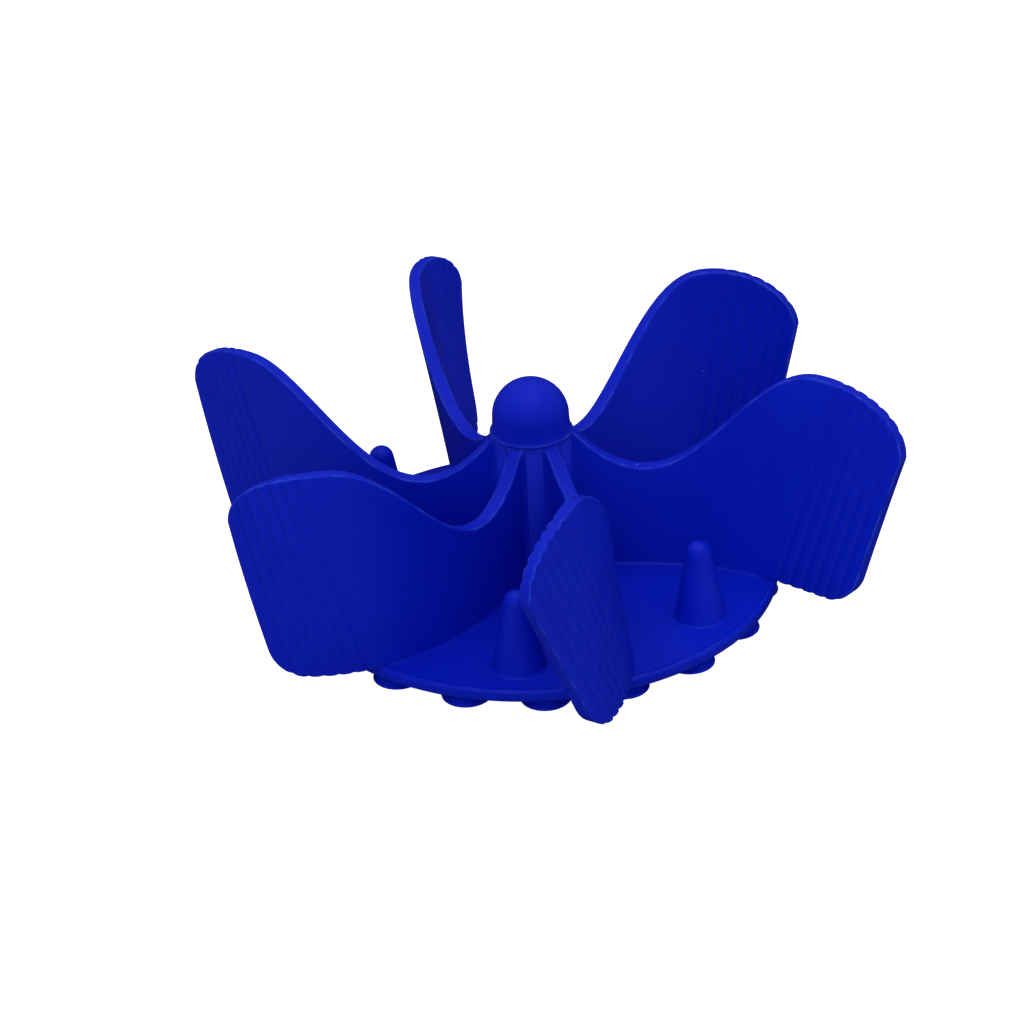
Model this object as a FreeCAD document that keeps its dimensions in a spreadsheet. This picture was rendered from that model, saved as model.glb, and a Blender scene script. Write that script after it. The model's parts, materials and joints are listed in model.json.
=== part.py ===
"""Slow feeder insert for a pet bowl, moulded in silicone rubber.

A round base stands on suction cups. Six curved fins stand on it round a centre post with a
domed cap, and one cone peg stands between each pair of fins. Each fin runs out past the base
to a free end with trim grooves, which bends at the base's rim to suit the bowl it stands in.

Millimetres, +Z up. The origin is on the post's axis, in the plane that the cups stand on.
"""
import FreeCAD, Part
import math
import os
import Sketcher

UP = FreeCAD.Vector(0, 0, 1)
FIN_COUNT = 6

SIZES = (
    # alias, size, what it is
    ("base_diameter", 100.0, "base plate, across"),
    ("base_thickness", 2.3, "base plate"),
    ("base_edge", 0.5, "radius on the base plate's two rims"),
    ("cup_height", 2.1, "suction cup, mouth to base plate"),
    ("cup_mouth", 10.2, "suction cup, across its lip"),
    ("cup_neck", 6.6, "suction cup, across its neck"),
    ("cup_neck_height", 0.5, "length of the neck's straight part"),
    ("cup_lip_width", 0.7, "flat ring that rests on the bowl"),
    ("cup_lip_height", 0.5, "upright edge of the lip"),
    ("cup_hollow", 1.2, "depth of the cup's hollow"),
    ("cup_azimuth", -90.0, "first cup of each ring, degrees from +X"),
    ("rim_cup_count", 18, "cups in the outer ring"),
    ("rim_cup_circle", 90.0, "diameter of the outer ring of cups"),
    ("mid_cup_count", 12, "cups in the middle ring"),
    ("mid_cup_circle", 62.0, "diameter of the middle ring of cups"),
    ("inner_cup_count", 6, "cups in the inner ring"),
    ("inner_cup_circle", 32.0, "diameter of the inner ring of cups"),
    ("post_diameter", 16.4, "centre post"),
    ("post_height", 31.4, "centre post above the base plate"),
    ("cap_flange", 17.0, "diameter of the parting flange under the cap"),
    ("cap_flange_height", 0.5, "upright edge of that flange"),
    ("cap_skirt_height", 3.4, "flared skirt below the dome"),
    ("cap_diameter", 15.7, "dome of the cap"),
    ("peg_circle", 80.0, "diameter of the ring of pegs"),
    ("peg_azimuth", -37.0, "first peg, degrees from +X"),
    ("peg_base", 10.2, "peg, across its foot"),
    ("peg_tip", 5.2, "peg, across the shoulder of its round tip"),
    ("peg_tip_rise", 2.2, "height of the round tip above that shoulder"),
    ("peg_height", 16.8, "peg above the base plate"),
    ("fin_foot_width", 3.6, "fin's wall at the base plate"),
    ("fin_top_width", 2.4, "fin's wall at fin_top_height"),
    ("fin_top_height", 50.0, "height, above every fin, at which its upper bends are given"),
    ("fin_azimuth", -55.0, "first fin's heading where it leaves the axis, degrees from +X"),
    ("root_run", 30.0, "length of the fin's root, along its middle line from the axis"),
    ("root_turn", 17.0, "degrees that the root turns clockwise"),
    ("bend_run", 21.0, "length of the fin's bend, which ends just outside the base plate"),
    ("bend_turn", 26.8, "degrees that the bend turns clockwise"),
    ("end_gap", 0.4, "gap between the fin's bend and its free end"),
    ("foot_gap", 0.3, "gap under the free end's foot"),
    ("rim_drop", 0.4, "fin's rim below the top of the post"),
    ("valley_run", 23.0, "lowest point of the fin's rim, along the middle line"),
    ("valley_height", 21.7, "height of that point above the base plate"),
    ("peak_run", 60.0, "highest point of the fin's rim, along the middle line"),
    ("peak_height", 45.8, "height of that point above the base plate"),
    ("tip_run", 79.5, "top of the straight outer edge, along the middle line"),
    ("tip_height", 33.3, "height of that point above the base plate"),
    ("toe_run", 69.8, "foot of the outer edge, along the middle line"),
    ("toe_radius", 8.0, "round corner at the foot of the outer edge"),
    ("groove_count", 6, "trim grooves on each face of a fin's free end"),
    ("groove_pitch", 2.85, "distance between trim grooves"),
    ("groove_first", 3.2, "outermost trim groove, in from the outer edge"),
    ("groove_depth", 0.4, "trim groove"),
    ("groove_radius", 1.0, "round bottom of a trim groove"),
)

# How far each soft fin stands bent, in degrees clockwise: its root's lean at fin_top_height,
# and its free end's bow at the foot and at fin_top_height. The fins go round clockwise.
FIN_BENDS = (
    ("root_lean", (8, -4, -5, -12, -6, -6)),
    ("foot_bow", (38, 59, 9, -6, 40, 7)),
    ("top_bow", (27, 66, 24, 44, 54, -2)),
)

# A turn of fewer degrees than this is drawn as a straight line.
STRAIGHT = 0.05
# Spans of the smooth curves along a fin's rim and along a trim groove.
RIM_STEPS = 16
GROOVE_STEPS = 4


class Size:
    """A number together with the expression that ties it to the sheet."""

    def __init__(self, value, text):
        self.value = value
        self.text = text

    def join(self, other, sign, value):
        text = other.text if isinstance(other, Size) else repr(other)
        return Size(value, "(%s %s %s)" % (self.text, sign, text))

    def __add__(self, other):
        return self.join(other, "+", self.value + as_number(other))

    def __sub__(self, other):
        return self.join(other, "-", self.value - as_number(other))

    def __truediv__(self, other):
        return self.join(other, "/", self.value / as_number(other))


def as_number(item):
    return item.value if isinstance(item, Size) else item


def make_sheet(doc):
    """Puts the driving dimensions in the sheet and returns them by alias."""
    rows = list(SIZES)
    for bend, angles in FIN_BENDS:
        for number, angle in enumerate(angles, start=1):
            rows.append(("%s_%d" % (bend, number), angle, "bend of fin %d, degrees" % number))
    sheet = doc.addObject("Spreadsheet::Sheet", "sizes")
    for row, (alias, value, meaning) in enumerate(rows, start=1):
        sheet.set("A%d" % row, meaning)
        sheet.set("B%d" % row, str(value))
        sheet.setAlias("B%d" % row, alias)
    doc.recompute()
    aliases = [alias for alias, value, meaning in rows]
    return {alias: Size(float(sheet.get(alias)), "sizes." + alias) for alias in aliases}


def origin_plane(body, role):
    return next(item for item in body.Origin.OriginFeatures if item.Role == role)


def new_sketch(body, role):
    sketch = body.newObject("Sketcher::SketchObject", body.Name + "_sketch")
    sketch.AttachmentSupport = [(origin_plane(body, role), "")]
    sketch.MapMode = "FlatFace"
    return sketch


def fix_point(sketch, curve, end, across, along):
    """Ties the end of a curve to a place in the sketch, given as two sizes."""
    for kind, axis, item in (("DistanceX", -2, across), ("DistanceY", -1, along)):
        if as_number(item) == 0:
            sketch.addConstraint(Sketcher.Constraint("PointOnObject", curve, end, axis))
            continue
        row = sketch.addConstraint(Sketcher.Constraint(kind, -1, 1, curve, end, item.value))
        sketch.setExpression("Constraints[%d]" % row, item.text)


def arc_through(start, end, radius, bulge):
    """The arc from start to end that bulges to the left (+1) or right (-1) of the way there."""
    middle = (start + end) / 2
    half = (end - start) / 2
    reach = math.sqrt(max(radius ** 2 - half.Length ** 2, 0))
    left = UP.cross(half).normalize()
    centre = middle - left * bulge * reach
    first, last = (end, start) if bulge > 0 else (start, end)
    angles = [math.atan2(point.y - centre.y, point.x - centre.x) for point in (first, last)]
    return Part.ArcOfCircle(Part.Circle(centre, UP, radius), angles[0], angles[1])


def turned_body(doc, name, outline, place, height):
    """A body turned about its own upright axis.

    The outline lists its corners as (radius, height) from the axis round to the axis. A
    corner may add (arc radius, bulge) for a round stretch that leads on to the next corner.
    """
    body = doc.addObject("PartDesign::Body", name)
    sketch = new_sketch(body, "XZ_Plane")
    corners = [FreeCAD.Vector(as_number(item[0]), as_number(item[1]), 0) for item in outline]
    ends = []
    for index, item in enumerate(outline):
        start, end = corners[index], corners[(index + 1) % len(outline)]
        if len(item) == 2:
            curve = sketch.addGeometry(Part.LineSegment(start, end), False)
            ends.append((curve, 1, 2))
            continue
        curve = sketch.addGeometry(arc_through(start, end, item[2].value, item[3]), False)
        ends.append((curve, 2, 1) if item[3] > 0 else (curve, 1, 2))
        row = sketch.addConstraint(Sketcher.Constraint("Radius", curve, item[2].value))
        sketch.setExpression("Constraints[%d]" % row, item[2].text)
    for index, (curve, first, last) in enumerate(ends):
        ahead = ends[(index + 1) % len(ends)]
        sketch.addConstraint(Sketcher.Constraint("Coincident", curve, last, ahead[0], ahead[1]))
        fix_point(sketch, curve, first, outline[index][0], outline[index][1])
    turn = body.newObject("PartDesign::Revolution", name + "_turn")
    turn.Profile = sketch
    turn.ReferenceAxis = (sketch, ["V_Axis"])
    turn.Angle = 360
    body.Label = name
    set_place(body, place, height)
    return body


def dish_radius(reach, rise):
    """The radius of a ball's cap that is this deep and reaches this far from the axis."""
    return Size(
        (reach.value ** 2 + rise.value ** 2) / (2 * rise.value),
        "((%s ^ 2 + %s ^ 2) / (2 * %s))" % (reach.text, rise.text, rise.text),
    )


def set_place(item, place, height):
    """Ties where a body stands to the sheet: (ring diameter, azimuth) and a height."""
    circle, azimuth = place
    if circle is not None:
        for axis, part in (("x", "cos"), ("y", "sin")):
            text = "%s / 2 * %s(%s * 1 deg)" % (circle.text, part, azimuth)
            item.setExpression("Placement.Base." + axis, text)
    if as_number(height) != 0:
        item.setExpression("Placement.Base.z", height.text)


ON_AXIS = (None, None)


def disc_body(doc, name, diameter, thickness):
    """A body with one round pad, and that pad."""
    body = doc.addObject("PartDesign::Body", name)
    sketch = new_sketch(body, "XY_Plane")
    radius = diameter / 2
    circle = sketch.addGeometry(Part.Circle(FreeCAD.Vector(), UP, radius.value), False)
    sketch.addConstraint(Sketcher.Constraint("Coincident", circle, 3, -1, 1))
    row = sketch.addConstraint(Sketcher.Constraint("Radius", circle, radius.value))
    sketch.setExpression("Constraints[%d]" % row, radius.text)
    pad = body.newObject("PartDesign::Pad", name + "_pad")
    pad.Profile = sketch
    pad.setExpression("Length", thickness.text)
    body.Label = name
    return body, pad


def make_base(doc, size):
    """The base plate, a disc with softened rims."""
    body, pad = disc_body(doc, "base_plate", size["base_diameter"], size["base_thickness"])
    doc.recompute()
    rims = [i for i, edge in enumerate(pad.Shape.Edges, start=1) if edge.isClosed()]
    fillet = body.newObject("PartDesign::Fillet", "base_plate_rims")
    fillet.Base = (pad, ["Edge%d" % rim for rim in rims])
    fillet.setExpression("Radius", size["base_edge"].text)
    set_place(body, ON_AXIS, size["cup_height"])
    return body


def make_post(doc, size):
    """The centre post that carries the cap and the fins' inner edges."""
    body, pad = disc_body(doc, "centre_post", size["post_diameter"], size["post_height"])
    set_place(body, ON_AXIS, base_top(size))
    return body


def base_top(size):
    return size["cup_height"] + size["base_thickness"]


def make_cap(doc, size):
    """The domed cap: a parting flange, a flared skirt and a round dome."""
    flange = size["cap_flange"] / 2
    dome = size["cap_diameter"] / 2
    skirt = size["cap_skirt_height"]
    outline = [
        (0, 0),
        (flange, 0),
        (flange, size["cap_flange_height"]),
        (dome, skirt, dome, -1),
        (0, skirt + dome),
    ]
    height = base_top(size) + size["post_height"]
    return turned_body(doc, "domed_cap", outline, ON_AXIS, height)


def make_pegs(doc, size):
    """One cone peg between each pair of fins."""
    foot = size["peg_base"] / 2
    shoulder = size["peg_tip"] / 2
    rise = size["peg_tip_rise"]
    outline = [
        (0, 0),
        (foot, 0),
        (shoulder, size["peg_height"] - rise, dish_radius(shoulder, rise), -1),
        (0, size["peg_height"]),
    ]
    pegs = []
    for number in range(FIN_COUNT):
        azimuth = "(%s - %d)" % (size["peg_azimuth"].text, number * 360 // FIN_COUNT)
        name = "cone_peg_%d" % (number + 1)
        pegs.append(turned_body(doc, name, outline, (size["peg_circle"], azimuth), base_top(size)))
    return pegs


def make_cups(doc, size):
    """Rings of suction cups under the base plate, and one cup at the centre."""
    mouth = size["cup_mouth"] / 2
    neck = size["cup_neck"] / 2
    height = size["cup_height"]
    hollow = mouth - size["cup_lip_width"]
    outline = [
        (0, size["cup_hollow"]),
        (0, height),
        (neck, height),
        (neck, height - size["cup_neck_height"]),
        (mouth, size["cup_lip_height"]),
        (mouth, 0),
        (hollow, 0, dish_radius(hollow, size["cup_hollow"]), -1),
    ]
    cups = []
    for ring in ("rim", "mid", "inner"):
        count = int(size[ring + "_cup_count"].value)
        for number in range(count):
            azimuth = "(%s + %d * 360 / %d)" % (size["cup_azimuth"].text, number, count)
            name = "%s_cup_%02d" % (ring, number + 1)
            place = (size[ring + "_cup_circle"], azimuth)
            cups.append(turned_body(doc, name, outline, place, 0))
    cups.append(turned_body(doc, "centre_cup", outline, ON_AXIS, 0))
    return cups


class Fin:
    """One curved fin: where its wall runs, and its two pieces."""

    def __init__(self, size, number):
        self.size = {alias: item.value for alias, item in size.items()}
        self.number = number
        self.floor = base_top(size).value
        self.hinge_run = self.size["root_run"] + self.size["bend_run"]

    def middle(self, station, level):
        """Place and heading on the middle line, at the foot (level 0) or the top (level 1)."""
        size = self.size
        start = size["fin_azimuth"] - (self.number - 1) * 360 / FIN_COUNT
        start -= level * size["root_lean_%d" % self.number]
        bow = size["%s_bow_%d" % (("foot", "top")[level], self.number)]
        free_run = size["tip_run"] - self.hinge_run
        stretches = (
            (size["root_run"], size["root_turn"]),
            (size["bend_run"], size["bend_turn"]),
            (free_run, bow),
        )
        place = (0.0, 0.0, math.radians(start))
        for index, (run, turn) in enumerate(stretches):
            last = index == len(stretches) - 1
            part = station if last else min(station, run)
            place = go_round(place, part, turn * part / run)
            station -= part
            if station <= 0:
                return place
        return place

    def wall_point(self, station, height, side=0.0, proud=0.0):
        """A point of the wall: side -1 or 1 is its right or left face, and 0 its middle."""
        size = self.size
        share = height / size["fin_top_height"]
        foot, top = self.middle(station, 0), self.middle(station, 1)
        x, y, heading = [a + (b - a) * share for a, b in zip(foot, top)]
        width = size["fin_foot_width"] + (size["fin_top_width"] - size["fin_foot_width"]) * share
        offset = side * (width / 2 + proud)
        left = FreeCAD.Vector(-math.sin(heading), math.cos(heading), 0)
        return FreeCAD.Vector(x, y, height) + left * offset

    def sink(self, station):
        """How much lower a leaning wall stands, as a share of its height."""
        foot, top = self.middle(station, 0), self.middle(station, 1)
        lean = math.hypot(top[0] - foot[0], top[1] - foot[1]) / self.size["fin_top_height"]
        return math.sqrt(1 - lean ** 2)

    def rim_height(self, station):
        """The rim swoops from the post to its valley, up to its peak and round to its tip."""
        size = self.size
        valley, peak, tip = size["valley_run"], size["peak_run"], size["tip_run"]
        low, high, end = size["valley_height"], size["peak_height"], size["tip_height"]
        if station < valley:
            start = size["post_diameter"] / 2
            rise = size["post_height"] - size["rim_drop"] - low
            height = low + rise * ((valley - station) / (valley - start)) ** 2
        elif station < peak:
            turn = math.pi * (station - valley) / (peak - valley)
            height = low + (high - low) * (1 - math.cos(turn)) / 2
        else:
            part = (station - peak) / (tip - peak)
            height = end + (high - end) * math.sqrt(max(1 - part ** 2, 0))
        return height * self.sink(station)

    def side_edge(self, start, end, level, side):
        height = level * self.size["fin_top_height"]
        stations = (start, (start + end) / 2, end)
        points = [self.wall_point(station, height, side) for station in stations]
        bow = math.degrees(self.middle(start, level)[2] - self.middle(end, level)[2])
        if abs(bow) < STRAIGHT:
            return Part.LineSegment(points[0], points[2]).toShape()
        return Part.Arc(*points).toShape()

    def slab(self, stations):
        """The wall from the foot to fin_top_height between stations, with nothing trimmed."""
        pairs = list(zip(stations, stations[1:]))
        wires = []
        for level in (0, 1):
            height = level * self.size["fin_top_height"]
            left = [self.side_edge(start, end, level, 1) for start, end in pairs]
            right = [self.side_edge(end, start, level, -1) for start, end in reversed(pairs)]
            far = [self.wall_point(stations[-1], height, side) for side in (1, -1)]
            near = [self.wall_point(stations[0], height, side) for side in (-1, 1)]
            far_edge = Part.LineSegment(*far).toShape()
            near_edge = Part.LineSegment(*near).toShape()
            wires.append(Part.Wire(left + [far_edge] + right + [near_edge]))
        return Part.makeLoft(wires, True, True)

    def outline(self, start, end, foot, free):
        """The fin's outline between two stations, as a slab that lies across its wall."""
        origin = self.wall_point(start, 0)
        along = (self.wall_point(end, 0) - origin).normalize()
        across = UP.cross(along)

        def flat(station, height):
            point = self.wall_point(station, height * self.sink(station)) - origin
            return origin + along * point.dot(along) + UP * point.z

        stations = [start + (end - start) * step / RIM_STEPS for step in range(RIM_STEPS + 1)]
        rim = Part.BSplineCurve()
        rim.interpolate([flat(station, self.rim_height(station)) for station in stations])
        edges = [rim.toShape()]
        if free:
            outer, middle, inner = self.toe(foot)
            edges.append(Part.LineSegment(rim.EndPoint, flat(*outer)).toShape())
            edges.append(Part.Arc(flat(*outer), flat(*middle), flat(*inner)).toShape())
            last = flat(*inner)
        else:
            last = flat(end, foot)
            edges.append(Part.LineSegment(rim.EndPoint, last).toShape())
        first = origin + UP * foot
        edges.append(Part.LineSegment(last, first).toShape())
        edges.append(Part.LineSegment(first, rim.StartPoint).toShape())
        face = Part.Face(Part.Wire(edges))
        reach = self.size["tip_run"] / 2
        face.translate(across * -reach)
        return face.extrude(across * 2 * reach)

    def toe(self, foot):
        """Where the round toe leaves the outer edge, its middle, and where it meets the foot."""
        size = self.size
        run = size["toe_run"]
        slope = math.atan2(size["tip_height"] - foot, size["tip_run"] - run)
        half = (math.pi - slope) / 2
        radius = size["toe_radius"]
        tangent = radius / math.tan(half)
        reach = radius / math.sin(half) - radius
        outer = (run + tangent * math.cos(slope), foot + tangent * math.sin(slope))
        middle = (run - reach * math.cos(half), foot + reach * math.sin(half))
        return outer, middle, (run - tangent, foot)

    def grooves(self):
        """Round rods that cut the trim grooves, side by side with the outer edge."""
        size = self.size
        radius = size["groove_radius"]
        proud = radius - size["groove_depth"]
        slant = (size["tip_run"] - size["toe_run"]) / size["tip_height"]
        span = size["fin_top_height"] / GROOVE_STEPS
        heights = [span * step for step in range(-1, GROOVE_STEPS + 1)]
        rods = []
        for index in range(int(size["groove_count"])):
            start = size["toe_run"] - size["groove_first"] - index * size["groove_pitch"]
            for side in (-1, 1):
                path = Part.BSplineCurve()
                path.interpolate([
                    self.wall_point(start + slant * height, height, side, proud)
                    for height in heights
                ])
                ahead = path.tangent(path.FirstParameter)[0]
                ring = Part.Wire(Part.Circle(path.StartPoint, ahead, radius).toShape())
                rods.append(Part.Wire(path.toShape()).makePipeShell([ring], True, True))
        return rods

    def hinge_axis(self):
        """Foot and top of the line that the free end bends about."""
        top = self.size["fin_top_height"]
        return self.wall_point(self.hinge_run, 0), self.wall_point(self.hinge_run, top)

    def rooted_piece(self):
        """The part of the fin that stands on the base plate and joins the post."""
        size = self.size
        end = self.hinge_run - size["fin_foot_width"] / 2 - size["end_gap"]
        wall = self.slab((0, size["root_run"], end))
        wall = wall.common(self.outline(0, self.hinge_run, 0, False))
        post = Part.makeCylinder(size["post_diameter"] / 2, size["fin_top_height"] * 2)
        post.translate(-UP * size["fin_top_height"])
        return self.lift(wall.cut(post))

    def free_piece(self):
        """The free end, with a round edge on its hinge line and its trim grooves."""
        size = self.size
        wall = self.slab((self.hinge_run, size["tip_run"] + size["toe_radius"]))
        foot, top = self.hinge_axis()
        line = top - foot
        widths = (size["fin_foot_width"] / 2, size["fin_top_width"] / 2)
        wall = wall.fuse(Part.makeCone(widths[0], widths[1], line.Length, foot, line))
        start = self.hinge_run - size["fin_foot_width"]
        wall = wall.common(self.outline(start, size["tip_run"], size["foot_gap"], True))
        return self.lift(wall.cut(self.grooves()))

    def lift(self, shape):
        """The one solid that the cuts leave, moved up to stand on the base plate."""
        if len(shape.Solids) != 1:
            raise RuntimeError("fin %d fell into %d solids" % (self.number, len(shape.Solids)))
        solid = shape.Solids[0]
        solid.translate(UP * self.floor)
        return solid


def go_round(place, run, turn):
    """Moves on along an arc of the given length that turns clockwise by turn degrees."""
    x, y, heading = place
    angle = math.radians(turn)
    if abs(turn) < STRAIGHT:
        return (x + run * math.cos(heading), y + run * math.sin(heading), heading - angle)
    radius = run / angle
    x += radius * (math.sin(heading) - math.sin(heading - angle))
    y += radius * (math.cos(heading - angle) - math.cos(heading))
    return (x, y, heading - angle)


def make_fins(doc, size):
    """Six fins, each in two pieces that meet at the rim of the base plate."""
    if size["peak_height"].value >= size["fin_top_height"].value:
        raise RuntimeError("fin_top_height has to be above peak_height")
    pieces = []
    for number in range(1, FIN_COUNT + 1):
        fin = Fin(size, number)
        for name, shape in (("fin_%d", fin.rooted_piece()), ("fin_%d_free_end", fin.free_piece())):
            piece = doc.addObject("Part::Feature", name % number)
            piece.Shape = shape
            piece.Label = name % number
            pieces.append(piece)
        foot, top = fin.hinge_axis()
        line = (top - foot).normalize()
        print("hinge %d" % number, [round(v, 4) for v in (*(foot + UP * fin.floor), *line)])
    return pieces


def check(doc, pieces):
    """Stops on any object that failed, and on any piece that isn't one sound solid."""
    for item in doc.Objects:
        if "Invalid" in item.State or "Error" in item.State:
            raise RuntimeError("%s failed: %s" % (item.Name, item.State))
    for piece in pieces:
        shape = piece.Shape
        if shape.isNull() or not shape.isValid() or len(shape.Solids) != 1:
            raise RuntimeError("%s is not one sound solid" % piece.Label)


def main():
    doc = FreeCAD.newDocument("slow_feeder_insert")
    size = make_sheet(doc)
    pieces = [make_base(doc, size), make_post(doc, size), make_cap(doc, size)]
    pieces += make_pegs(doc, size)
    pieces += make_cups(doc, size)
    pieces += make_fins(doc, size)
    doc.recompute()
    check(doc, pieces)
    os.makedirs("parts", exist_ok=True)
    for piece in pieces:
        piece.Shape.exportStep("parts/%s.step" % piece.Label)
        print(piece.Label, round(piece.Shape.Volume, 2))


main()
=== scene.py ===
"""Makes the silicone pieces of a slow feeder insert on its CAD frame, and lights them.

Metres, +Z up. The origin is on the post's axis, in the plane that the suction cups stand on.
"""
import json
import math

import bmesh
import bpy
import numpy as np
from bpy.props import FloatProperty, FloatVectorProperty, IntProperty, PointerProperty
from mathutils import Matrix, Vector


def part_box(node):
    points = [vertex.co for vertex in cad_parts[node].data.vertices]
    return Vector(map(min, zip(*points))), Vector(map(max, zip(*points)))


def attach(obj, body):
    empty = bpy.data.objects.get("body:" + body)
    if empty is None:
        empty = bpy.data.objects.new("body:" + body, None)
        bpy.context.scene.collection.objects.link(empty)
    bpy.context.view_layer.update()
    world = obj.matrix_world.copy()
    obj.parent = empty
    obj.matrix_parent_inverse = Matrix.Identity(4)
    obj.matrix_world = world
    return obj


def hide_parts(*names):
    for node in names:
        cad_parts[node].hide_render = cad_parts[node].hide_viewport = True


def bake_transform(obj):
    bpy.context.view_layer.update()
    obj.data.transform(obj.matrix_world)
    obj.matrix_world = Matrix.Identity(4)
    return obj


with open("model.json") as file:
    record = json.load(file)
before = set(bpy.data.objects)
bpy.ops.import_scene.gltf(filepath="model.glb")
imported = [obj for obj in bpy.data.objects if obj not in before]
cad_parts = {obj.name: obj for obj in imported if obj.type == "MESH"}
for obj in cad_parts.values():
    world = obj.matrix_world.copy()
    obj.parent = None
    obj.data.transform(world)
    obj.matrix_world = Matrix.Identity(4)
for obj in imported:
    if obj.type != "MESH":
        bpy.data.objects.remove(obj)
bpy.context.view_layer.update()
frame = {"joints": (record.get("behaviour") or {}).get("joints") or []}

bl_info = {
    "name": "Slow Feeder Insert",
    "version": (1, 0, 0),
    "blender": (4, 5, 0),
    "location": "3D View > Sidebar > Slow Feeder",
    "description": "Makes the silicone pieces of a slow feeder insert",
    "category": "Object",
}

MM = 0.001
FIN_COUNT = 6
FLOOR_REACH = 9.0
FLOOR_GREY = 0.4
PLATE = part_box("base_plate")
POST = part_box("centre_post")
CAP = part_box("domed_cap")
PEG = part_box("cone_peg_1")
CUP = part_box("rim_cup_01")
# The attribute that marks the thin raised lines which the mould leaves; along the fins' rounded
# edges it is also a painted highlight, strongest halfway round each edge.
MOULD_LINE_AND_HIGHLIGHT = "mould_line_and_highlight"


def half_width(box):
    return (box[1].x - box[0].x) / 2


def standing_at(box):
    """Distance from the axis, and angle, of the middle of a node's box."""
    middle = (box[0] + box[1]) / 2
    return math.hypot(middle.x, middle.y), math.atan2(middle.y, middle.x)


def length(name, description, default, **more):
    return FloatProperty(
        name=name, description=description, default=default, min=0.0,
        subtype="DISTANCE", unit="LENGTH", precision=4, **more)


def angle(name, description, degrees):
    return FloatProperty(
        name=name, description=description, default=math.radians(degrees), subtype="ANGLE")


def six_angles(name, description, *degrees):
    return FloatVectorProperty(
        name=name, description=description, size=FIN_COUNT, unit="ROTATION",
        default=[math.radians(value) for value in degrees])


def colour(name, description, *default):
    return FloatVectorProperty(
        name=name, description=description, default=default, size=4, subtype="COLOR",
        min=0.0, max=1.0)


def share(name, description, default):
    return FloatProperty(name=name, description=description, default=default, min=0.0)


class FeederSizes(bpy.types.PropertyGroup):
    """Sizes of the plate, post, cap, pegs and cups that the frame doesn't give."""

    plate_edge: length("Plate Edge", "Round on the plate's two rims", 0.5 * MM)
    bead_width: length("Bead Width", "Mould bead on the plate's upper rim", 0.35 * MM)
    bead_height: length("Bead Height", "How far that bead stands up", 0.1 * MM)
    foot_round: length("Foot Round", "Hollow round where walls meet the plate", 0.6 * MM)
    sink_in: length("Sink In", "How far pieces run into each other", 0.4 * MM)
    flange_height: length("Flange Height", "Thin mould flange under the cap", 0.3 * MM)
    skirt_height: length("Skirt Height", "Flared skirt below the cap's dome", 3.4 * MM)
    dome_radius: length("Dome Radius", "Round top of the cap", 7.85 * MM)
    peg_shoulder: length("Peg Shoulder", "Radius where the peg's round tip starts", 2.6 * MM)
    peg_tip_rise: length("Peg Tip Rise", "Height of that round tip", 2.2 * MM)
    peg_lean: angle("Peg Lean", "Most that a soft peg leans out of true", 0.6)
    cup_neck: length("Cup Neck", "Radius of a cup's neck", 3.3 * MM)
    cup_neck_height: length("Cup Neck Height", "Straight part of the neck", 0.5 * MM)
    cup_lip_width: length("Cup Lip Width", "Flat ring that rests on the bowl", 0.7 * MM)
    cup_lip_height: length("Cup Lip Height", "Upright edge of that ring", 0.5 * MM)
    cup_hollow: length("Cup Hollow", "Depth of a cup's hollow", 1.2 * MM)
    rim_cups: IntProperty(name="Rim Cups", description="Cups in the outer ring", default=18)
    mid_cups: IntProperty(name="Middle Cups", description="Cups in the middle ring", default=12)
    inner_cups: IntProperty(name="Inner Cups", description="Cups in the inner ring", default=6)


class FinSizes(bpy.types.PropertyGroup):
    """The shape that all six fins share, and how each one stands bent."""

    foot_width: length("Foot Width", "Wall at the plate", 3.6 * MM)
    top_width: length("Top Width", "Wall at the level height", 2.4 * MM)
    level_height: length("Level Height", "Height at which the upper bends are given", 50 * MM)
    heading: angle("Heading", "First fin's heading where it leaves the axis", -55)
    root_run: length("Root Run", "Length of the root, from the axis", 30 * MM)
    root_turn: angle("Root Turn", "How far the root turns clockwise", 17)
    bend_run: length("Bend Run", "Length of the bend, to the plate's rim", 21 * MM)
    bend_turn: angle("Bend Turn", "How far the bend turns clockwise", 26.8)
    valley_run: length("Valley Run", "Lowest point of the rim, along the fin", 23 * MM)
    valley_height: length("Valley Height", "Height of that point", 21.7 * MM)
    rim_drop: length("Rim Drop", "Rim below the post's top", 0.4 * MM)
    peak_run: length("Peak Run", "Highest point of the rim, along the fin", 60 * MM)
    peak_height: length("Peak Height", "Height of that point", 45.8 * MM)
    tip_run: length("Tip Run", "Top of the straight outer edge, along the fin", 79.5 * MM)
    tip_height: length("Tip Height", "Height of that point", 33.3 * MM)
    toe_run: length("Toe Run", "Foot of the outer edge, along the fin", 69.8 * MM)
    toe_radius: length("Toe Radius", "Round corner at that foot", 8 * MM)
    edge_round: length("Edge Round", "Round along the edges of the wall", 0.42 * MM)
    inner_run: length("Inner Run", "Start of the fin inside the post", 5 * MM)
    grooves: IntProperty(name="Grooves", description="Trim grooves on each face", default=6)
    groove_pitch: length("Groove Pitch", "Distance between grooves", 2.85 * MM)
    groove_first: length("First Groove", "Outermost groove, in from the edge", 3.2 * MM)
    groove_depth: length("Groove Depth", "Depth of a groove", 0.34 * MM)
    groove_reach: length("Groove Reach", "Half a groove's width", 0.95 * MM)
    root_lean: six_angles("Root Lean", "Clockwise, at the level height", 8, -4, -5, -12, -6, -6)
    foot_bow: six_angles("Foot Bow", "Free end's bow at its foot", 38, 59, 9, -6, 40, 7)
    top_bow: six_angles("Top Bow", "Free end's bow, higher up", 27, 66, 24, 44, 54, -2)


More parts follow.
